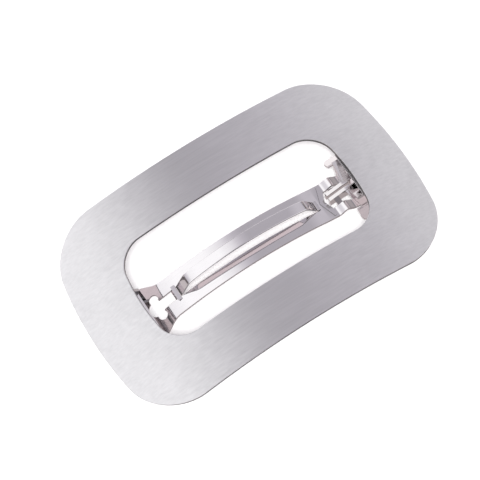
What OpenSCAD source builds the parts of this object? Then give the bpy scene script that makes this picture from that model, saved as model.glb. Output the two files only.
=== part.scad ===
// Curved rectangular hair barrette with a squeeze-to-open French clasp.
// A rolled steel frame plate carries a hinge at its -X end and a sprung latch at its +X end.
// The arm swings on the hinge pin, carries the bow spring and snaps over the two pinch fingers.
// X runs along the clip from hinge to latch, Y across it, Z up towards the show face.
// All heights below are measured from the crown of the show face; lift() sets the clip on Z = 0.

/* [Frame plate] */
// Length of the flat blank, before it is rolled
frame_len = 86; // [84:0.5:88]
// Width of the blank
frame_w = 52.9; // [50:0.1:56]
// Sheet thickness
frame_t = 0.9; // [0.7:0.1:1]
// Radius that the show face is rolled to
arch_r = 119; // [116:1:122]
// Corner radius of the blank
corner_r = 11.6; // [9:0.1:13]
// How far each short end bows outwards
end_bow = 3.95; // [3:0.05:5]
// How far each long side is waisted inwards
waist = 0.5; // [0:0.1:1]

/* [Frame window] */
// Length of the window, over its bowed ends
window_len = 57.5; // [56:0.5:59]
// Width of the window
window_w = 26.4; // [25:0.1:28]
// Corner radius of the window
window_r = 5.8; // [4:0.1:7]
// How far each window end bows outwards
window_bow = 1.8; // [1:0.1:2.5]

/* [Arm] */
// Width of the arm
arm_w = 9.3; // [9:0.1:9.6]
// Sheet thickness of the arm
arm_t = 0.7; // [0.6:0.05:0.75]
// Radius of the arm's arched middle
arm_r = 67; // [66:0.5:68]
// Depth of the arm's crown below the show face
arm_drop = 7.87; // [7.8:0.01:7.9]
// Width across the hinge ears
ear_span = 13.6; // [13.4:0.1:14]
// Width of the slot under the bow spring
slot_w = 2.7; // [2.7:0.05:3]
// Width of the latch opening
opening_w = 4.9; // [4.8:0.05:5.2]

/* [Bow spring] */
// Width of the spring strip
bow_w = 2.6; // [2.2:0.05:2.6]
// Thickness of the spring strip
bow_t = 0.45; // [0.3:0.05:0.5]
// Radius of the strip's middle
bow_r = 49; // [47:0.5:51]
// Depth of the strip's crown below the show face
bow_drop = 3.07; // [3:0.01:3.15]

/* [Hinge and latch] */
// Radius of the hinge pin
pin_r = 0.75; // [0.6:0.05:0.8]
// Running clearance of the arm's ears on the pin
pin_gap = 0.05; // [0.03:0.01:0.08]
// Sheet thickness of the two brackets
bracket_t = 0.6; // [0.5:0.05:0.65]
// Thickness of the solder layer under the frame plate
solder_t = 0.15; // [0.1:0.01:0.18]
// Sheet thickness of the pinch fingers
finger_t = 0.5; // [0.4:0.05:0.55]

/* [Hidden] */
$fn = 48;
// Facets of the rolled shell's cylinder
ROLL_FN = 360;
// Reach of a cutting solid, past every edge of the clip
REACH = 60;
// Steps along the stretches of each outline
END_STEPS = 4;
CORNER_STEPS = 10;
SIDE_STEPS = 6;
ARCH_STEPS = 22;
CREST_STEPS = 18;
FLARE_STEPS = 8;
BOW_STEPS = 12;
BEND_STEPS = 6;
ROUND_STEPS = 6;
// Least distance between neighbouring points of a blank
APART = 0.001;

// Depth of the lowest face, on which the closed clip stands
stand_drop = 13.9;
arm_rest = stand_drop - arm_t;

// Hinge pin axis
pin_x = -32.5;
pin_z = -8.6;
ear_t = 0.7;
ear_r = 1.9;
lug_r = 1.7;
lug_span = ear_span - 2 * ear_t - 0.4;
lug_top_x = [-3.4, 2.6];
lug_top_rise = 5;
pin_head_r = 1.15;
pin_head_t = 0.35;
pin_head_gap = 0.15;
// Ear outline: its slope up to the eye, from the pin axis, and its foot's reach in front of the arm's heel
ear_front = [1.35, 1.34];
ear_back = [-1.75, -0.74];
ear_foot_x = 0.2;
ear_toe = [0.6, 0.3];

// Arm stations, along X
arm_crown_x = -1;
arm_heel_x = -30;
flare_start_x = -22;
flare_end_x = -27.8;
rail_x = 19.5;
rail_end_x = 29;
arm_tip_x = 31;
tip_r = 1.5;
crest_x = 24.4;
crest_half = 2.6;
crest_h = 1.45;
// V-shaped ridge across the arm before its opening: place on the centre line, slope, width, height and ends
ridge_x = 19.8;
ridge_slope = 0.35;
ridge_w = 0.45;
ridge_h = 0.2;
ridge_y = 4.2;
opening_x = [21.8, 28.9];
opening_point = 1;
slot_end_x = 18.95;
keyhole_x = -25.5;
keyhole_r = 1.95;
lobe_x = -25.1;
lobe_y = 2.15;
lobe_r = 1.15;

// Bow spring: two equal links that fold at the crown
bow_crown_x = -0.6;
bow_half_span = 18.8;
bow_crown_flat = 0.65;
bow_bend = 15.2;
bow_bend_r = 2.5;
bow_leg_angle = 59;
crown_cut = 0.06;
end_cut = 0.08;
toe_cut = 0.15;
toe_clear = 0.12;
shoulder_l = 1.0;
shoulder_w = 3.9;
tongue_w = 2.4;
tongue_z = -12.5;
tongue_back = 0.85;
hook_l = 1.2;
hook_w = 5.4;
clinch_l = 2;
clinch_fall = 0.66;
clinch_gap = 0.12;
foot_gap = 0.03;

// Latch stations
bracket_y = 6;
latch_front_x = 27.9;
latch_back_x = 38.5;
hinge_front_x = -29.6;
hinge_back_x = -38.5;
hinge_solder_x = [-38, -29.2];
latch_solder_x = [29, 38];
solder_y = 5.2;
rivet_x = 34;
rivet_r = 0.9;
rivet_head_r = 1.6;
rivet_head_t = 0.4;
rivet_seat = 0.02;
spring_plate_t = 0.4;
spring_plate_x = [28.9, 37];
spring_plate_y = 4.8;
finger_root = [5.3, -6.3];
finger_x = [26.6, 31];
blade_x = [21.7, 28.4];
blade_y = 0.65;
blade_z = [-12.35, -8.7];
blade_fall = 0.9;
roof_y = 0.3;
roof_overlap = 1;
barb_x = [23.2, 24.5];
barb_gap = 0.08;
web_root_x = [25.8, 27.6];
web_end_x = [27.2, 28.9];
web_z = -9.3;
web_overlap = 0.2;
pad_x = [25.9, 30.4];
pad_start = [6.4, -9.9];
pad_end = [8.6, -11.92];
pad_corner_r = 1.2;
pad_overrun = 0.3;

function deg(a) = a * 180 / PI;
function ramp(a, b, x) = let (s = max(0, min(1, (x - a) / (b - a)))) s * s * (3 - 2 * s);
function steps(a, b, n) = [for (i = [0 : n]) a + (b - a) * i / n];

// Quarter arc of radius r about c, from angle a0, in n segments
function arc(c, r, a0, a1, n) = [for (a = steps(a0, a1, n)) c + r * [cos(a), sin(a)]];

// Rounded rectangle with outward bows on the short ends and a waist on the long sides
function blank(half_l, half_w, r, bow, tuck) =
    let (
        cx = half_l - r,
        cy = half_w - r,
        quarter = concat(
            [for (y = steps(0, cy, END_STEPS)) [half_l, y]],
            [for (p = arc([cx, cy], r, 0, 90, CORNER_STEPS)) if (p.y > cy + APART) p],
            [for (x = steps(cx, 0, SIDE_STEPS)) if (x < cx - APART) [x, half_w]]
        ),
        bowed = [for (p = quarter) [
            p.x + bow * (1 - pow(p.y / half_w, 2)),
            p.y - tuck * (1 - pow(p.x / half_l, 2))
        ]],
        n = len(bowed)
    )
    concat(
        bowed,
        [for (i = [n - 2 : -1 : 0]) [-bowed[i].x, bowed[i].y]],
        [for (i = [1 : n - 1]) [-bowed[i].x, -bowed[i].y]],
        [for (i = [n - 2 : -1 : 1]) [bowed[i].x, -bowed[i].y]]
    );

// Plan view of a blank after it is rolled to arch_r
function rolled(points) = [for (p = points) [arch_r * sin(deg(p.x / arch_r)), p.y]];

// Outline of a sheet of thickness t whose upper face follows path, from left to right
function sheet_normal(path, i) =
    let (d = path[min(i + 1, len(path) - 1)] - path[max(i - 1, 0)])
    [-d.y, d.x] / norm(d);
function sheet(path, t) = concat(
    path,
    [for (i = [len(path) - 1 : -1 : 0]) path[i] - t * sheet_normal(path, i)]
);

// Height of the arm's upper face
function arm_arc_z(x) = -arm_drop - arm_r + sqrt(pow(arm_r, 2) - pow(x - arm_crown_x, 2));
function rail_z(x) = let (z0 = arm_arc_z(rail_x)) z0 - (arm_rest + z0) * (x - rail_x) / (rail_end_x - rail_x);
function crest_z(x) =
    abs(x - crest_x) < crest_half ? crest_h * pow(cos(90 * (x - crest_x) / crest_half), 2) : 0;
function arm_z(x) =
    x < rail_x ? max(arm_arc_z(x), -arm_rest)
    : x < rail_end_x ? rail_z(x) + crest_z(x)
    : -arm_rest;
arm_level_x = arm_crown_x - sqrt(pow(arm_r, 2) - pow(arm_r - (arm_rest - arm_drop), 2));
arm_path = [for (x = concat(
    [arm_heel_x],
    steps(arm_level_x, rail_x, ARCH_STEPS),
    steps(rail_x + 1, rail_end_x, CREST_STEPS),
    [arm_tip_x]
)) [x, arm_z(x)]];

// Height of the bow spring's upper face, at distance d from its crown
function bow_arc_z(d) = -bow_drop - bow_r + sqrt(pow(bow_r, 2) - pow(d, 2));
bow_bend_angle = asin(bow_bend / bow_r);
bow_bend_centre = [bow_bend, bow_arc_z(bow_bend)] - bow_bend_r * [sin(bow_bend_angle), cos(bow_bend_angle)];
bow_fillet = arc(bow_bend_centre, bow_bend_r, 90 - bow_bend_angle, 90 - bow_leg_angle, BEND_STEPS);
bow_leg = bow_fillet[BEND_STEPS];
bow_end_z = bow_leg.y - (bow_half_span - bow_leg.x) * tan(bow_leg_angle);
bow_side = concat(
    [for (d = steps(bow_crown_flat, bow_bend, BOW_STEPS)) [d, bow_arc_z(d)]],
    [for (i = [1 : BEND_STEPS]) bow_fillet[i]],
    [[bow_half_span, bow_end_z]]
);
bow_path = concat([for (i = [len(bow_side) - 1 : -1 : 0]) [-bow_side[i].x, bow_side[i].y]], bow_side);

module lift() {
    translate([0, 0, stand_drop]) children();
}

// Extrudes an outline in X and Z by w across Y
module across(w) {
    rotate([90, 0, 0]) linear_extrude(w, center = true) children();
}

// Extrudes an outline in X and Z from y0 to y1
module crosswise(y0, y1) {
    translate([0, y1, 0]) rotate([90, 0, 0]) linear_extrude(y1 - y0) children();
}

// Extrudes an outline in Y and Z from x0 to x1
module lengthways(x0, x1) {
    translate([x0, 0, 0]) rotate([90, 0, 90]) linear_extrude(x1 - x0) children();
}

// Extrudes an outline in X and Y upwards and downwards, past the clip
module upright() {
    linear_extrude(2 * REACH, center = true) children();
}

// Cylinder along Y through [x, z]
module y_rod(x, z, r, w) {
    translate([x, 0, z]) rotate([90, 0, 0]) cylinder(r = r, h = w, center = true);
}

// Band of the rolled shell between two depths below the show face
module rolled_shell(top, t) {
    difference() {
        y_rod(0, -arch_r, arch_r - top, REACH, $fn = ROLL_FN);
        y_rod(0, -arch_r, arch_r - top - t, REACH + 1, $fn = ROLL_FN);
    }
}

// Rectangular piece of the rolled shell, between x0 and x1
module rolled_tab(x0, x1, half_y, top, t) {
    intersection() {
        rolled_shell(top, t);
        translate([x0, -half_y, -REACH]) cube([x1 - x0, 2 * half_y, 2 * REACH]);
    }
}

// Mirrored copies on both sides of the clip
module both_sides() {
    children();
    mirror([0, 1, 0]) children();
}

module frame_plate() {
    outer = rolled(blank(frame_len / 2 - end_bow, frame_w / 2, corner_r, end_bow, waist));
    window = rolled(blank(window_len / 2 - window_bow, window_w / 2, window_r, window_bow, waist / 2));
    color("silver") lift() intersection() {
        rolled_shell(0, frame_t);
        upright() difference() {
            polygon(outer);
            polygon(window);
        }
    }
}

module hinge_solder() {
    color("gray") lift() rolled_tab(hinge_solder_x[0], hinge_solder_x[1], solder_y, frame_t, solder_t);
}

module latch_solder() {
    color("gray") lift() rolled_tab(latch_solder_x[0], latch_solder_x[1], solder_y, frame_t, solder_t);
}

module hinge_base() {
    base_top = frame_t + solder_t;
    lug = [
        [pin_x + lug_top_x[0], pin_z + lug_top_rise], [pin_x + lug_top_x[1], pin_z + lug_top_rise],
        [pin_x + lug_r, pin_z], [pin_x - lug_r, pin_z]
    ];
    color("gainsboro") lift() difference() {
        union() {
            rolled_tab(hinge_back_x, hinge_front_x, lug_span / 2, base_top, bracket_t);
            intersection() {
                difference() {
                    union() {
                        across(lug_span) polygon(lug);
                        y_rod(pin_x, pin_z, lug_r, lug_span);
                    }
                    across(lug_span - 2 * ear_t) square(2 * REACH, center = true);
                }
                y_rod(0, -arch_r, arch_r - base_top - bracket_t / 2, REACH, $fn = ROLL_FN);
            }
        }
        y_rod(pin_x, pin_z, pin_r, REACH);
    }
}

module hinge_pin() {
    shank = ear_span + 2 * pin_head_gap;
    color("silver") lift() {
        y_rod(pin_x, pin_z, pin_r, shank + pin_head_t);
        both_sides() translate([0, shank / 2 + pin_head_t / 2, 0])
            y_rod(pin_x, pin_z, pin_head_r, pin_head_t);
    }
}

module latch_base() {
    color("gainsboro") lift() difference() {
        rolled_tab(latch_front_x, latch_back_x, bracket_y, frame_t + solder_t, bracket_t);
        rivet_hole();
    }
}

// Places children on the show face above x, square to it
module on_arch(x) {
    translate([0, 0, -arch_r]) rotate([0, asin(x / arch_r), 0]) translate([0, 0, arch_r]) children();
}

module rivet_hole() {
    on_arch(rivet_x) cylinder(r = rivet_r, h = REACH, center = true);
}

module latch_rivet() {
    top = frame_t + solder_t + rivet_seat;
    grip = bracket_t + spring_plate_t;
    color("silver") lift() on_arch(rivet_x) translate([0, 0, -top - grip]) {
        cylinder(r = rivet_r, h = grip);
        translate([0, 0, -rivet_head_t]) cylinder(r = rivet_head_r, h = rivet_head_t);
    }
}

module pinch_spring_plate() {
    color("gainsboro") lift() difference() {
        rolled_tab(
            spring_plate_x[0], spring_plate_x[1], spring_plate_y,
            frame_t + solder_t + bracket_t, spring_plate_t
        );
        rivet_hole();
    }
}

// Sloped top of a blade, on which the arm's opening slides down
function blade_top() = [[blade_x[0], blade_z[1] - blade_fall], [web_root_x[0], blade_z[1]]];

// One pinch finger on the +Y side: sloped root, upright blade with roof and barb, web and thumb pad
module pinch_finger() {
    half_t = finger_t / 2;
    mid_y = blade_y + half_t;
    barb_end = opening_w / 2 - barb_gap;
    lengthways(finger_x[0], finger_x[1]) bar(finger_root, [mid_y, blade_z[1] - half_t], half_t);
    translate([finger_x[0], finger_root.x, finger_root.y]) rotate([0, 90, 0])
        cylinder(r = half_t, h = finger_x[1] - finger_x[0]);
    crosswise(blade_y, blade_y + finger_t) polygon(concat(
        blade_top(),
        [[blade_x[1], blade_z[1]], [blade_x[1], blade_z[0]], [blade_x[0], blade_z[0]]]
    ));
    crosswise(roof_y, mid_y) polygon(concat(
        blade_top(),
        [[finger_x[0] + roof_overlap, blade_z[1]], [finger_x[0] + roof_overlap, blade_z[1] - finger_t]],
        [for (p = [blade_top()[1], blade_top()[0]]) p - [0, finger_t]]
    ));
    translate([barb_x[0], blade_y, blade_z[0]]) cube([barb_x[1] - barb_x[0], barb_end - blade_y, finger_t]);
    intersection() {
        lengthways(pad_x[0], pad_x[1]) {
            bar([mid_y, web_z], pad_start, half_t);
            bar(pad_start, pad_end, half_t);
        }
        upright() polygon(web_and_pad(mid_y));
    }
}

// Plan outline of the web, which runs aslant from the blade, and of the pad with its round corners
function web_and_pad(y0) =
    let (y1 = pad_start.x - web_overlap, yc = pad_end.x + pad_overrun - pad_corner_r)
    concat(
        [[web_end_x[0], y1], [web_root_x[0], y0], [web_root_x[1], y0], [web_end_x[1], y1], [pad_x[1], y1]],
        arc([pad_x[1] - pad_corner_r, yc], pad_corner_r, 0, 90, ROUND_STEPS),
        arc([pad_x[0] + pad_corner_r, yc], pad_corner_r, 90, 180, ROUND_STEPS),
        [[pad_x[0], y1]]
    );

// Flat bar from a to b in the plane of its outline, half_t to each side
module bar(a, b, half_t) {
    d = (b - a) / norm(b - a);
    n = [-d.y, d.x] * half_t;
    e = d * half_t;
    polygon([a - e + n, b + e + n, b + e - n, a - e - n]);
}

module pinch_finger_left() {
    color("silver") lift() pinch_finger();
}

module pinch_finger_right() {
    color("silver") lift() mirror([0, 1, 0]) pinch_finger();
}

// Plan outline of the arm, with its flared hinge end and rounded tip
function arm_half() = concat(
    [[arm_heel_x, ear_span / 2]],
    [for (x = steps(flare_end_x, flare_start_x, FLARE_STEPS)) [
        x, arm_w / 2 + (ear_span - arm_w) / 2 * (1 - ramp(flare_end_x, flare_start_x, x))
    ]],
    arc([arm_tip_x - tip_r, arm_w / 2 - tip_r], tip_r, 90, 0, ROUND_STEPS)
);
function mirrored(points) = concat(
    points,
    [for (i = [len(points) - 1 : -1 : 0]) [points[i].x, -points[i].y]]
);

module arm_cutouts() {
    translate([keyhole_x, -slot_w / 2]) square([slot_end_x - keyhole_x, slot_w]);
    translate([keyhole_x, 0]) circle(r = keyhole_r);
    for (side = [-1, 1]) translate([lobe_x, side * lobe_y]) circle(r = lobe_r);
    polygon([
        [opening_x[0] - opening_point, 0], [opening_x[0], -opening_w / 2], [opening_x[1], -opening_w / 2],
        [opening_x[1], opening_w / 2], [opening_x[0], opening_w / 2]
    ]);
}

// Ridge pressed into the arm: the arm's own sheet, lifted inside a V
module arm_ridge() {
    x0 = [ridge_x - ridge_w / 2, ridge_x + ridge_w / 2];
    x1 = x0 + ridge_slope * ridge_y * [1, 1];
    intersection() {
        across(2 * ridge_y) polygon([for (p = sheet(arm_path, arm_t)) p + [0, ridge_h]]);
        upright() polygon([
            [x0[0], 0], [x1[0], ridge_y], [x1[1], ridge_y], [x0[1], 0], [x1[1], -ridge_y], [x1[0], -ridge_y]
        ]);
    }
}

// One hinge ear, in X and Z
module ear_outline() {
    polygon([
        [arm_heel_x, -stand_drop],
        [arm_level_x + ear_foot_x, -stand_drop],
        [arm_level_x + ear_toe.x, -arm_rest + ear_toe.y],
        [pin_x, pin_z] + ear_front,
        [pin_x, pin_z] + ear_back
    ]);
}

module latch_arm() {
    color("silver") lift() difference() {
        union() {
            intersection() {
                across(ear_span) polygon(sheet(arm_path, arm_t));
                upright() difference() {
                    polygon(mirrored(arm_half()));
                    arm_cutouts();
                }
            }
            arm_ridge();
            both_sides() translate([0, (ear_span - ear_t) / 2, 0]) {
                across(ear_t) ear_outline();
                y_rod(pin_x, pin_z, ear_r, ear_t);
            }
        }
        y_rod(pin_x, pin_z, pin_r + pin_gap, REACH);
    }
}

// Part of the bow spring between two distances from its crown
module bow_strip(d0, d1) {
    lift() translate([bow_crown_x, 0, 0]) intersection() {
        across(bow_w) polygon(sheet(bow_path, bow_t));
        translate([d0, -REACH / 2, -REACH]) cube([d1 - d0, REACH, REACH]);
    }
}

module bow_root_half() {
    color("silver") bow_strip(crown_cut, bow_half_span - end_cut);
}

module bow_toe_half() {
    color("silver") bow_strip(-bow_half_span + end_cut, -crown_cut);
}

// Foot of the bow spring: drops through the slot's end and clinches under the arm
module bow_foot() {
    x0 = bow_crown_x + bow_half_span;
    x1 = slot_end_x - foot_gap;
    x2 = x1 + clinch_l;
    under = arm_z(slot_end_x) - arm_t - clinch_gap;
    color("silver") lift() across(bow_w) polygon([
        [x0, bow_end_z], [x1, bow_end_z], [x1, under], [x2, under - clinch_fall],
        [x2, under - clinch_fall - bow_t], [x0, under - bow_t]
    ]);
}

// Toe of the bow spring: shoulders ride on the arm, a tongue drops through the slot and hooks under it
module bow_toe() {
    x1 = bow_crown_x - bow_half_span - toe_cut + end_cut;
    shoulder_z = arm_z(x1) + toe_clear;
    color("silver") lift() {
        translate([x1 - shoulder_l, -shoulder_w / 2, shoulder_z])
            cube([shoulder_l, shoulder_w, bow_end_z - shoulder_z]);
        translate([x1 - tongue_back, -tongue_w / 2, tongue_z]) cube([bow_t, tongue_w, bow_end_z - tongue_z]);
        translate([x1 - hook_l, -hook_w / 2, tongue_z - bow_t]) cube([hook_l, hook_w, bow_t]);
    }
}

frame_plate();
hinge_solder();
hinge_base();
hinge_pin();
latch_solder();
latch_base();
latch_rivet();
pinch_spring_plate();
pinch_finger_left();
pinch_finger_right();
latch_arm();
bow_foot();
bow_root_half();
bow_toe_half();
bow_toe();
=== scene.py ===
"""Looks of a brushed-metal hair barrette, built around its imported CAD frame."""
import math

import bmesh
import bpy
from mathutils import Matrix, Vector


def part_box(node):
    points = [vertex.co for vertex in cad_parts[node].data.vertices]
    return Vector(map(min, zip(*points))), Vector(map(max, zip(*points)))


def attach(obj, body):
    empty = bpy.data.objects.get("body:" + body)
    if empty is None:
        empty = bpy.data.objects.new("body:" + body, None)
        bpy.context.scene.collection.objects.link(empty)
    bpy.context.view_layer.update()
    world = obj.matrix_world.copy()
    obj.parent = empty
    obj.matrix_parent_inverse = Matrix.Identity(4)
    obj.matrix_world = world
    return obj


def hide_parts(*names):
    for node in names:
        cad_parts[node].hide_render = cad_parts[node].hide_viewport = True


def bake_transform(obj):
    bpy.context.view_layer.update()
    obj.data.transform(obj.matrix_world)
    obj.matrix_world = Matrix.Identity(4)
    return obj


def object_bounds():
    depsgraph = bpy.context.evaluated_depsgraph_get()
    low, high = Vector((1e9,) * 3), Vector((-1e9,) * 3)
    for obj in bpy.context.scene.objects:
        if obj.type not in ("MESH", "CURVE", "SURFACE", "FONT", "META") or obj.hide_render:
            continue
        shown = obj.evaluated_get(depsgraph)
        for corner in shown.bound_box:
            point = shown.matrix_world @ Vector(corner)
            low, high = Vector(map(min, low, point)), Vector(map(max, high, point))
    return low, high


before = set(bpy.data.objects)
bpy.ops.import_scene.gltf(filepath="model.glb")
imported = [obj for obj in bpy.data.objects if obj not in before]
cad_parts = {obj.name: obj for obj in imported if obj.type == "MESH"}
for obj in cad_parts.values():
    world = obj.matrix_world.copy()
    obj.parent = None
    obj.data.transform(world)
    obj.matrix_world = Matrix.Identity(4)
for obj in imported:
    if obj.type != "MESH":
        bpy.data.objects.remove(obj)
CAD_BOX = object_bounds()
MM = 0.001
# Top of the arch, which the camera looks at
CROWN = Vector((0, 0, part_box("frame_plate")[1].z))


# ---------------------------------------------------------------- camera, light and floor

# Direction of the view as turns about Z, X and Y, and the lens. Lengths are in metres, and the lens in mm.
CAMERA_TURN = math.radians(34.72)
CAMERA_LEAN = math.radians(-20.59)
CAMERA_ROLL = math.radians(8.20)
CAMERA_DISTANCE = 0.382
CAMERA_LENS = 126.9
CAMERA_SENSOR = 36
CAMERA_SHIFT = (-0.0119, -0.0190)
CAMERA_CLIP = (0.01, 20)
# Pale, matt floor, just below the clip's lowest face
FLOOR_DROP = 0.0002
FLOOR_SIZE = 6
FLOOR_COLOR = (0.96, 0.96, 0.96, 1)
FLOOR_ROUGHNESS = 0.9
FLOOR_SPECULAR = 0.2
# Sky brightness by how far a direction points towards +X. The broad sky lights the brushed plate,
# and a narrow strip across Y is what the polished clasp mirrors towards the camera.
BROAD_SKY = [
    (-1.0, 1.40), (-0.45, 1.40), (-0.30, 1.20), (-0.20, 0.95), (-0.10, 0.62), (-0.02, 0.36),
    (0.05, 0.36), (0.12, 0.52), (0.20, 0.68), (0.45, 0.73), (0.60, 0.85), (0.75, 1.10), (1.0, 1.15)
]
STRIP_SKY = [
    (-1.0, 0.60), (-0.85, 0.70), (-0.65, 0.90), (-0.40, 1.20), (-0.15, 1.18), (-0.05, 1.02), (0.0, 0.90),
    (0.05, 0.72), (0.10, 0.60), (0.17, 0.50), (0.57, 0.50), (0.65, 0.64), (0.85, 0.60), (1.0, 0.15)
]
# The strip's place along Y, and the distances from it over which it fades into the broad sky
STRIP_Y = 0.395
STRIP_FADE = (0.075, 0.17)
# Tint of a dim sky, and the level from which it turns white and the range over which it does
SKY_TINT = (1.0, 0.955, 1.03)
WHITE_FROM = 0.6
WHITE_RANGE = 0.5
# Below the skyline: warm grey at the sides, dim lower down and pale underneath, with white card towards +Y
LOW_SKY = [
    (-1.0, (0.90, 0.79, 0.79)), (-0.72, (0.90, 0.80, 0.80)), (-0.45, (0.90, 0.82, 0.83)),
    (-0.3, (0.58, 0.53, 0.53)), (0.0, (0.26, 0.24, 0.25))
]
LOW_SPAN = (-0.06, 0.14)
BACK_CARD = (1.15, 1.12, 1.12)
BACK_SPAN = (0.5, 0.8)
# Key light: its size, its power, and how many camera distances it is away
KEY_SIZE = 0.25
KEY_POWER = 7
KEY_REACH = 2.5


def make_camera(aim):
    """Long-lens camera that looks down on aim, turned and tipped against the clip."""
    view = (
        Matrix.Rotation(CAMERA_TURN, 3, "Z")
        @ Matrix.Rotation(CAMERA_LEAN, 3, "X")
        @ Matrix.Rotation(CAMERA_ROLL, 3, "Y")
    )
    data = bpy.data.cameras.new("camera")
    data.lens = CAMERA_LENS
    data.sensor_width = CAMERA_SENSOR
    data.clip_start, data.clip_end = CAMERA_CLIP
    data.shift_x, data.shift_y = CAMERA_SHIFT
    camera = bpy.data.objects.new("camera", data)
    to_world = view.transposed()
    place = aim + to_world @ Vector((0, 0, CAMERA_DISTANCE))
    camera.matrix_world = Matrix.Translation(place) @ to_world.to_4x4()
    bpy.context.scene.collection.objects.link(camera)
    bpy.context.scene.camera = camera


def tinted(level):
    """Colour of a sky level: white where it is strong, and cool grey where it is dim."""
    whiteness = min(1, max(0, (level - WHITE_FROM) / WHITE_RANGE))
    return tuple(level * (t + (1 - t) * whiteness) for t in SKY_TINT)


def sky_ramp(nodes, links, value, colors):
    """Colour ramp over value, which runs from -1 to 1.

    The ramp holds shares of the strongest part of any colour, because its stops can't go past 1.
    """
    strongest = max(max(color) for _, color in colors)
    to_unit = nodes.new("ShaderNodeMapRange")
    to_unit.inputs["From Min"].default_value = -1
    links.new(value, to_unit.inputs["Value"])
    ramp = nodes.new("ShaderNodeValToRGB")
    stops = ramp.color_ramp.elements
    while len(stops) < len(colors):
        stops.new(0.5)
    for stop, (at, color) in zip(stops, colors):
        stop.position = (at + 1) / 2
        stop.color = (*(part / strongest for part in color), 1)
    links.new(to_unit.outputs["Result"], ramp.inputs["Fac"])
    scaled = nodes.new("ShaderNodeVectorMath")
    scaled.operation = "SCALE"
    scaled.inputs["Scale"].default_value = strongest
    links.new(ramp.outputs["Color"], scaled.inputs[0])
    return scaled.outputs[0]


def smooth_step(nodes, links, value, low, high):
    """Value as a share that rises smoothly from 0 at low to 1 at high."""
    step = nodes.new("ShaderNodeMapRange")
    step.interpolation_type = "SMOOTHSTEP"
    step.inputs["From Min"].default_value = low
    step.inputs["From Max"].default_value = high
    links.new(value, step.inputs["Value"])
    return step.outputs["Result"]


def mix_color(nodes, links, share, first, second):
    """Colour between first and second, which are colours or outputs of other nodes."""
    mix = nodes.new("ShaderNodeMix")
    mix.data_type = "RGBA"
    links.new(share, mix.inputs["Factor"])
    for socket, color in ((mix.inputs["A"], first), (mix.inputs["B"], second)):
        if isinstance(color, tuple):
            socket.default_value = (*color, 1)
        else:
            links.new(color, socket)
    return mix.outputs["Result"]


def operation(nodes, links, kind, *values):
    """Result of a maths node on values, which are numbers or outputs of other nodes."""
    node = nodes.new("ShaderNodeMath")
    node.operation = kind
    for socket, value in zip(node.inputs, values):
        if isinstance(value, (int, float)):
            socket.default_value = value
        else:
            links.new(value, socket)
    return node.outputs[0]


def make_sky():
    """Studio sky: white card towards -X, a dim gap overhead and pale card towards +X, over a warm grey room."""
    world = bpy.data.worlds.new("studio")
    world.use_nodes = True
    nodes, links = world.node_tree.nodes, world.node_tree.links
    place = nodes.new("ShaderNodeTexCoord")
    split = nodes.new("ShaderNodeSeparateXYZ")
    links.new(place.outputs["Generated"], split.inputs[0])
    off_strip = operation(nodes, links, "SUBTRACT", split.outputs["Y"], STRIP_Y)
    outside = smooth_step(nodes, links, operation(nodes, links, "ABSOLUTE", off_strip), *STRIP_FADE)
    broad = sky_ramp(nodes, links, split.outputs["X"], [(at, tinted(level)) for at, level in BROAD_SKY])
    strip = sky_ramp(nodes, links, split.outputs["X"], [(at, tinted(level)) for at, level in STRIP_SKY])
    sky = mix_color(nodes, links, outside, strip, broad)
    height = smooth_step(nodes, links, split.outputs["Z"], *LOW_SPAN)
    low = sky_ramp(nodes, links, split.outputs["Z"], LOW_SKY)
    back = smooth_step(nodes, links, split.outputs["Y"], *BACK_SPAN)
    all_round = mix_color(nodes, links, height, mix_color(nodes, links, back, low, BACK_CARD), sky)
    links.new(all_round, nodes["Background"].inputs["Color"])
    bpy.context.scene.world = world


def make_key(aim):
    """Wide, soft light beside the camera. It fills the floor under the clip."""
    data = bpy.data.lights.new("key", "AREA")
    data.shape = "DISK"
    data.size = KEY_SIZE
    data.energy = KEY_POWER
    light = bpy.data.objects.new("key", data)
    place = bpy.context.scene.camera.matrix_world.translation - aim
    light.location = aim + place * KEY_REACH
    light.rotation_euler = place.to_track_quat("Z", "Y").to_euler()
    light.visible_glossy = False
    bpy.context.scene.collection.objects.link(light)


def make_floor():
    """Plain floor that the clip stands on. The clasp doesn't mirror it, but mirrors the low sky instead."""
    bpy.ops.mesh.primitive_plane_add(size=FLOOR_SIZE, location=(0, 0, CAD_BOX[0][2] - FLOOR_DROP))
    floor = bpy.context.object
    floor.name = "floor"
    material = bpy.data.materials.new("floor")
    material.use_nodes = True
    shader = material.node_tree.nodes["Principled BSDF"]
    shader.inputs["Base Color"].default_value = FLOOR_COLOR
    shader.inputs["Roughness"].default_value = FLOOR_ROUGHNESS
    shader.inputs["Specular IOR Level"].default_value = FLOOR_SPECULAR
    floor.data.materials.append(material)
    floor.visible_glossy = False


# ---------------------------------------------------------------- materials

# Upright faces get painted shade, standing in for the dark room that steep faces mirror: size of a normal's Z
# over which that fades
PAINTED_SHADE_SPAN = (0.2, 0.6)
# The back of the brushed plate, which the clasp mirrors, is smooth: its roughness, and the normal's Z over
# which it passes into the brushed face
BACK_ROUGHNESS = 0.14
BACK_TURN = (-0.6, -0.3)
# Noise: its roughness and its usual values. Then the detail of its fine and its cloudy pattern, the share of
# the cloudy one in the mixture, and the depth of the fine one's relief
NOISE_ROUGHNESS = 0.65
NOISE_RANGE = (0.3, 0.7)
FINE_DETAIL = 6
CLOUD_DETAIL = 3
CLOUD_SHARE = 0.25
RELIEF_DEPTH = 0.02 * MM
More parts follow.
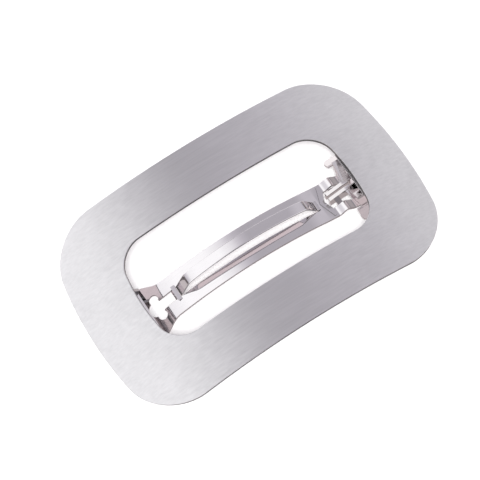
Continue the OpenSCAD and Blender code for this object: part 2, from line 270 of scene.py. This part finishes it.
# What metal() makes of each slot. Its docstring says what the values are.
METALS = {
    "brushed_plate": {
        "color": (0.83, 0.82, 0.84), "color_change": 0.10, "roughness": (0.44, 0.56), "stretch": (1, 26, 26),
        "scale": 80, "bump": 0.12, "wear": 60, "painted_shade_kept": 0.24, "anisotropic": 0.9
    },
    "polished_steel": {
        "color": (0.83, 0.81, 0.83), "color_change": 0.04, "roughness": (0.03, 0.08), "stretch": (1, 40, 40),
        "scale": 60, "bump": 0.02, "wear": 150, "painted_shade_kept": 0.24
    },
    "spring_steel": {
        "color": (0.80, 0.77, 0.78), "color_change": 0.06, "roughness": (0.04, 0.10), "stretch": (1, 40, 40),
        "scale": 60, "bump": 0.03, "wear": 200, "painted_shade_kept": 0.42
    },
    "bracket_steel": {
        "color": (0.66, 0.64, 0.65), "color_change": 0.12, "roughness": (0.12, 0.24), "stretch": (1, 30, 30),
        "scale": 60, "bump": 0.06, "wear": 300, "painted_shade_kept": 0.5
    },
    "solder": {
        "color": (0.50, 0.50, 0.51), "color_change": 0.25, "roughness": (0.35, 0.6), "stretch": (1, 1, 1),
        "scale": 900, "bump": 0.5, "wear": 400, "painted_shade_kept": 0.7
    },
}


def noise(nodes, links, place, stretch, scale, detail):
    """Noise stretched by stretch along X, Y and Z."""
    mapping = nodes.new("ShaderNodeMapping")
    mapping.inputs["Scale"].default_value = stretch
    texture = nodes.new("ShaderNodeTexNoise")
    texture.inputs["Scale"].default_value = scale
    texture.inputs["Detail"].default_value = detail
    texture.inputs["Roughness"].default_value = NOISE_ROUGHNESS
    links.new(place.outputs["Object"], mapping.inputs["Vector"])
    links.new(mapping.outputs["Vector"], texture.inputs["Vector"])
    return texture.outputs["Fac"]


def span(nodes, links, value, low, high):
    """Noise value, spread from its usual range onto low to high."""
    spread = nodes.new("ShaderNodeMapRange")
    spread.inputs["From Min"].default_value, spread.inputs["From Max"].default_value = NOISE_RANGE
    spread.inputs["To Min"].default_value = low
    spread.inputs["To Max"].default_value = high
    links.new(value, spread.inputs["Value"])
    return spread.outputs["Result"]


def painted_upright_shade(nodes, links, upward, color, painted_shade_kept):
    """Color, of which upright faces keep only a share: painted shade, standing in for the dark room that steep
    faces mirror.
    """
    flat = smooth_step(nodes, links, operation(nodes, links, "ABSOLUTE", upward), *PAINTED_SHADE_SPAN)
    shade = mix_color(nodes, links, flat, (painted_shade_kept, painted_shade_kept, painted_shade_kept), (1.0, 1.0, 1.0))
    product = nodes.new("ShaderNodeMix")
    product.data_type = "RGBA"
    product.blend_type = "MULTIPLY"
    product.inputs["Factor"].default_value = 1.0
    links.new(color, product.inputs["A"])
    links.new(shade, product.inputs["B"])
    return product.outputs["Result"]


def smooth_back(nodes, links, upward, roughness):
    """Roughness that falls to BACK_ROUGHNESS on the underside, which isn't brushed."""
    both = nodes.new("ShaderNodeMix")
    both.inputs["A"].default_value = BACK_ROUGHNESS
    links.new(smooth_step(nodes, links, upward, *BACK_TURN), both.inputs["Factor"])
    links.new(roughness, both.inputs["B"])
    return both.outputs["Result"]


def metal(name, color, color_change, roughness, stretch, scale, bump, wear, painted_shade_kept, anisotropic=0.0):
    """Metal with a grain, a wear pattern and painted shade on its upright faces.

    stretch and scale are those of the grain, bump is its strength, and wear is the scale of the cloudy pattern.
    roughness is (low, high), and color_change the share by which the colour darkens.
    painted_shade_kept is the share of the colour that upright faces keep under the painted shade.
    """
    material = bpy.data.materials.new(name)
    material.use_nodes = True
    nodes, links = material.node_tree.nodes, material.node_tree.links
    shader = nodes["Principled BSDF"]
    shader.inputs["Metallic"].default_value = 1.0
    place = nodes.new("ShaderNodeTexCoord")
    fine = noise(nodes, links, place, stretch, scale, FINE_DETAIL)
    cloud = noise(nodes, links, place, (1, 1, 1), wear, CLOUD_DETAIL)
    both = nodes.new("ShaderNodeMix")
    both.data_type = "FLOAT"
    both.inputs["Factor"].default_value = CLOUD_SHARE
    links.new(fine, both.inputs["A"])
    links.new(cloud, both.inputs["B"])
    mixed = both.outputs["Result"]
    darker = tuple(part * (1 - color_change) for part in color)
    tint = mix_color(nodes, links, span(nodes, links, mixed, 0, 1), color, darker)
    facing = nodes.new("ShaderNodeSeparateXYZ")
    links.new(place.outputs["Normal"], facing.inputs[0])
    upward = facing.outputs["Z"]
    # Painted shade: upright faces keep only a share of the base colour
    links.new(painted_upright_shade(nodes, links, upward, tint, painted_shade_kept), shader.inputs["Base Color"])
    finish = span(nodes, links, mixed, *roughness)
    links.new(smooth_back(nodes, links, upward, finish) if anisotropic else finish, shader.inputs["Roughness"])
    relief = nodes.new("ShaderNodeBump")
    relief.inputs["Strength"].default_value = bump
    relief.inputs["Distance"].default_value = RELIEF_DEPTH
    links.new(fine, relief.inputs["Height"])
    links.new(relief.outputs["Normal"], shader.inputs["Normal"])
    if anisotropic:
        shader.inputs["Anisotropic"].default_value = anisotropic
        tangent = nodes.new("ShaderNodeTangent")
        tangent.direction_type = "UV_MAP"
        links.new(tangent.outputs["Tangent"], shader.inputs["Tangent"])
    return material


# ---------------------------------------------------------------- mesh tools

# Steps round a sheet's edge and round a softened one
EDGE_STEPS = 3
SOFT_STEPS = 3
# Edges sharper than this are softened, and flat faces are joined up to the smaller angle and distance
SHARP = math.radians(20)
FLAT = math.radians(0.4)
WELD = 0.0005 * MM


def new_piece(name, mesh, body, slot, *replaced):
    """Puts a mesh into the scene as a piece that rides on body and stands for the replaced nodes."""
    piece = bpy.data.objects.new(name, mesh)
    bpy.context.scene.collection.objects.link(piece)
    mesh.materials.append(MATERIALS[slot])
    if replaced:
        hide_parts(*replaced)
    if body:
        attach(piece, body)
    return piece


def tube_mesh(name, rings, closed, uv=None):
    """Mesh through rings of points. closed joins the last ring to the first, or else both ends are capped.

    uv gives a corner's texture place from its ring, its place in the ring, and the segment its face lies on.
    """
    mesh = bmesh.new()
    layer = mesh.loops.layers.uv.new("UVMap")
    rows = [[mesh.verts.new(p) for p in ring] for ring in rings]
    count = len(rows)
    size = len(rows[0])
    for i in range(count if closed else count - 1):
        a, b = rows[i], rows[(i + 1) % count]
        for k in range(size):
            following = (k + 1) % size
            face = mesh.faces.new((a[k], b[k], b[following], a[following]))
            if uv:
                corners = ((i, k), (i + 1, k), (i + 1, following), (i, following))
                for loop, (ring, at) in zip(face.loops, corners):
                    loop[layer].uv = uv(ring % count, at, k)
    if not closed:
        mesh.faces.new(rows[0])
        mesh.faces.new(reversed(rows[-1]))
    bmesh.ops.recalc_face_normals(mesh, faces=mesh.faces)
    data = bpy.data.meshes.new(name)
    mesh.to_mesh(data)
    mesh.free()
    data.shade_smooth()
    return data


def round_section(width, thickness, edge, flats):
    """Cross-section of a sheet with rounded edges: (across, depth) points, from across 0 to width.

    Each of its two faces has as many parts as flats says.
    """
    def corner(cx, cy, start):
        angles = [math.radians(start + 90 * i / EDGE_STEPS) for i in range(EDGE_STEPS + 1)]
        return [(cx + edge * math.cos(a), cy - edge * math.sin(a)) for a in angles]

    def flat(start, end, depth):
        inset = math.copysign(edge / 3, end - start)
        inner = [start + inset + (end - start - 2 * inset) * i / flats for i in range(flats + 1)]
        return [(at, depth) for at in inner]

    return (
        corner(edge, edge, 90)[::-1]
        + flat(edge, width - edge, 0)
        + corner(width - edge, edge, 0)[::-1]
        + corner(width - edge, thickness - edge, 270)[::-1]
        + flat(width - edge, edge, thickness)
        + corner(edge, thickness - edge, 180)[::-1]
    )


def softened(node, body, slot, width):
    """Copy of a CAD node with its sharp edges rounded to width. It stands for the node."""
    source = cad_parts[node]
    mesh = bmesh.new()
    mesh.from_mesh(source.data)
    bmesh.ops.remove_doubles(mesh, verts=mesh.verts, dist=WELD)
    bmesh.ops.dissolve_limit(mesh, angle_limit=FLAT, verts=mesh.verts, edges=mesh.edges)
    sharp = [e for e in mesh.edges if len(e.link_faces) == 2 and e.calc_face_angle(0) > SHARP]
    bmesh.ops.bevel(
        mesh, geom=sharp, offset=width, segments=SOFT_STEPS, profile=0.5, affect="EDGES", clamp_overlap=True
    )
    bmesh.ops.recalc_face_normals(mesh, faces=mesh.faces)
    data = bpy.data.meshes.new(node + "_skin")
    mesh.to_mesh(data)
    mesh.free()
    data.shade_smooth()
    piece = new_piece(node + "_skin", data, body, slot, node)
    weighted = piece.modifiers.new("normals", "WEIGHTED_NORMAL")
    weighted.keep_sharp = False
    return piece


# ---------------------------------------------------------------- frame plate

PLATE_T = 0.9 * MM
ARCH_R = 119 * MM
# Outlines of the flat blank: half length and half width, corner radius, how far the ends bow out in their
# middle, and how far the sides are waisted in theirs
OUTER = {"half_l": 39.05 * MM, "half_w": 26.45 * MM, "r": 11.6 * MM, "bow": 3.95 * MM, "waist": 0.5 * MM}
WINDOW = {"half_l": 26.95 * MM, "half_w": 13.2 * MM, "r": 5.8 * MM, "bow": 1.8 * MM, "waist": 0.25 * MM}
END_STEPS, CORNER_STEPS, SIDE_STEPS = 10, 16, 22
PLATE_EDGE = 0.12 * MM
PLATE_FLATS = 14
# Texture lengths per metre
UV_SCALE = 20


def blank_quarter(half_l, half_w, r, bow, waist):
    """A quarter of a blank's outline, from its end's middle round the corner to its side's middle."""
    cx, cy = half_l - r, half_w - r
    points = [(half_l, cy * i / END_STEPS) for i in range(END_STEPS)]
    for i in range(CORNER_STEPS + 1):
        a = math.pi / 2 * i / CORNER_STEPS
        points.append((cx + r * math.cos(a), cy + r * math.sin(a)))
    points += [(cx * (1 - i / SIDE_STEPS), half_w) for i in range(1, SIDE_STEPS + 1)]
    return [(x + bow * (1 - (y / half_w) ** 2), y - waist * (1 - (x / half_l) ** 2)) for x, y in points]


def blank_outline(**size):
    """Whole outline of a blank, once round."""
    quarter = blank_quarter(**size)
    half = quarter + [(-x, y) for x, y in quarter[-2::-1]]
    return half + [(x, -y) for x, y in half[-2:0:-1]]


def roll(u, v, depth):
    """Point of the rolled sheet that was at (u, v) of the flat blank, depth below its show face."""
    reach = ARCH_R - depth
    return Vector((reach * math.sin(u / ARCH_R), v, CROWN.z - ARCH_R + reach * math.cos(u / ARCH_R)))


def make_plate():
    """Lofts the plate between its two outlines. Its texture gives the brush direction, over the edges too."""
    inner, outer = blank_outline(**WINDOW), blank_outline(**OUTER)
    rings, flat_rings = [], []
    for (u0, v0), (u1, v1) in zip(inner, outer):
        length = math.hypot(u1 - u0, v1 - v0)
        along = Vector((u1 - u0, v1 - v0)) / length
        section = round_section(length, PLATE_T, PLATE_EDGE, PLATE_FLATS)
        flat = [Vector((u0, v0)) + along * across for across, _ in section]
        rings.append([roll(place.x, place.y, depth) for place, (_, depth) in zip(flat, section)])
        unrolled = [
            place + along * (depth if across > length / 2 else -depth)
            for place, (across, depth) in zip(flat, section)
        ]
        flat_rings.append((flat, unrolled))
    deep = [depth > PLATE_T / 2 for _, depth in section]

    def uv(ring, at, segment):
        flat, unrolled = flat_rings[ring]
        below = deep[segment] and deep[(segment + 1) % len(deep)]
        place = flat[at] if below else unrolled[at]
        return place.y * UV_SCALE, place.x * UV_SCALE

    mesh = tube_mesh("face_plate", rings, True, uv)
    return new_piece("face_plate", mesh, "frame", "brushed_plate", "frame_plate")


# ---------------------------------------------------------------- bow spring

BOW_W, BOW_T = 2.6 * MM, 0.45 * MM
# Upper face: radius, drop below the plate's crown, distance from its middle to the bend, the bend's radius, and
# the slope of the leg beyond
BOW_R = 49 * MM
BOW_DROP = 3.07 * MM
BOW_BEND = 15.2 * MM
BOW_BEND_R = 2.5 * MM
BOW_LEG = math.radians(59)
BOW_EDGE = 0.12 * MM
BOW_STEPS, BEND_STEPS, LEG_STEPS = 40, 10, 5
BOW_FLATS = 4
# Half the length over which the strip would pass from one of its bodies to the other; the ends computed from it
# are not used
BOW_SPREAD = 9 * MM


def bow_half():
    """X of the bow's crown, and (distance from it, height, slope) along half of the bow's upper face."""
    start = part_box("bow_root_half")[0].x
    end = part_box("bow_root_half")[1].x
    crown_x = (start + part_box("bow_toe_half")[1].x) / 2
    half_span = end - crown_x
    bend_angle = math.asin(BOW_BEND / BOW_R)
    points = []
    for i in range(BOW_STEPS + 1):
        a = bend_angle * i / BOW_STEPS
        points.append((BOW_R * math.sin(a), CROWN.z - BOW_DROP - BOW_R * (1 - math.cos(a)), a))
    x, z, a = points[-1]
    cx, cz = x - BOW_BEND_R * math.sin(a), z - BOW_BEND_R * math.cos(a)
    for i in range(1, BEND_STEPS + 1):
        b = a + (BOW_LEG - a) * i / BEND_STEPS
        points.append((cx + BOW_BEND_R * math.sin(b), cz + BOW_BEND_R * math.cos(b), b))
    x, z, a = points[-1]
    for i in range(1, LEG_STEPS + 1):
        step = (half_span - x) * i / LEG_STEPS
        points.append((x + step, z - step * math.tan(BOW_LEG), BOW_LEG))
    return crown_x, points


def make_bow():
    """Bow spring as one strip, in place of the CAD nodes of its two halves."""
    crown_x, half = bow_half()
    line = [(-d, z, -a) for d, z, a in half[:0:-1]] + half
    section = round_section(BOW_W, BOW_T, BOW_EDGE, BOW_FLATS)
    rings = []
    for d, z, a in line:
        rings.append([
            Vector((crown_x + d - depth * math.sin(a), across - BOW_W / 2, z - depth * math.cos(a)))
            for across, depth in section
        ])
    mesh = tube_mesh("bow_strip", rings, False)
    piece = new_piece("bow_strip", mesh, None, "polished_steel", "bow_root_half", "bow_toe_half")
    start, end = (crown_x + BOW_SPREAD, 0, 0), (crown_x - BOW_SPREAD, 0, 0)
    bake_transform(piece)
    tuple(start)
    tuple(end)
    return piece


# ---------------------------------------------------------------- the clip

# The pieces that keep their CAD shape with softened edges: node, body, slot and width of the rounding
SOFTENED = [
    ("latch_arm", "arm", "polished_steel", 0.1 * MM),
    ("bow_foot", "arm", "polished_steel", 0.08 * MM),
    ("bow_toe", "bow_slider", "polished_steel", 0.06 * MM),
    ("hinge_base", "frame", "bracket_steel", 0.1 * MM),
    ("hinge_pin", "frame", "bracket_steel", 0.1 * MM),
    ("latch_base", "frame", "bracket_steel", 0.1 * MM),
    ("latch_rivet", "frame", "bracket_steel", 0.12 * MM),
    ("pinch_spring_plate", "frame", "spring_steel", 0.08 * MM),
    ("pinch_finger_left", "finger_left", "spring_steel", 0.08 * MM),
    ("pinch_finger_right", "finger_right", "spring_steel", 0.08 * MM),
    ("hinge_solder", "frame", "solder", 0.04 * MM),
    ("latch_solder", "frame", "solder", 0.04 * MM)
]

make_camera(CROWN)
make_sky()
make_key(CROWN)
make_floor()
MATERIALS = {name: metal(name, **look) for name, look in METALS.items()}

make_plate()
make_bow()
for node, body, slot, width in SOFTENED:
    softened(node, body, slot, width)

bpy.context.scene.view_settings.view_transform = "Standard"
